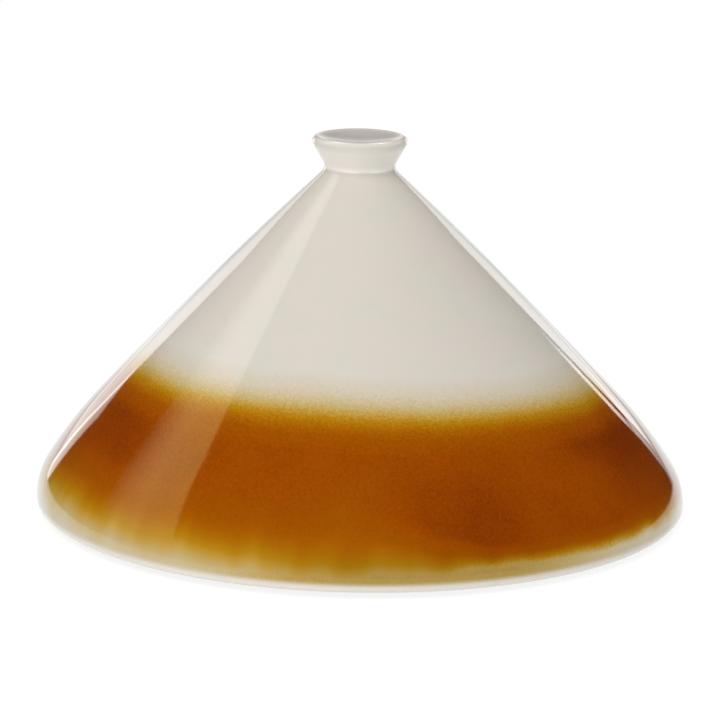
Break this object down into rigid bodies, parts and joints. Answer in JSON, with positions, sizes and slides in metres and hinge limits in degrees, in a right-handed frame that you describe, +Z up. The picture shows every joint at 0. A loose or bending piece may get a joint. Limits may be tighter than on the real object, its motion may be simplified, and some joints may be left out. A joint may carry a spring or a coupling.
{
  "type": "tagine",
  "caption": "Tagine with a wide conical lid, a flared dished knob and a cream and amber glaze; the lid lifts off a shallow round footed dish for slow cooking.",
  "frame": {"origin": "middle of the dish's foot ring, on the surface the tagine stands on", "axes": "+Z up along the axis of revolution; +X and +Y are any two directions square to it, with -Y towards the viewer of the picture"},
  "size_m": [0.28, 0.28, 0.162],
  "materials": {
    "lid_glaze": "gloss",
    "dish_glaze": "gloss"
  },
  "bodies": {
    "base": {"base_dish": "dish_glaze"},
    "lid": {"lid": "lid_glaze"}
  },
  "joints": [
    {"name": "lid_lift", "type": "slide", "parent": "base", "child": "lid", "axis": [0, 0, 1], "range_m": [0, 0.16]}
  ]
}
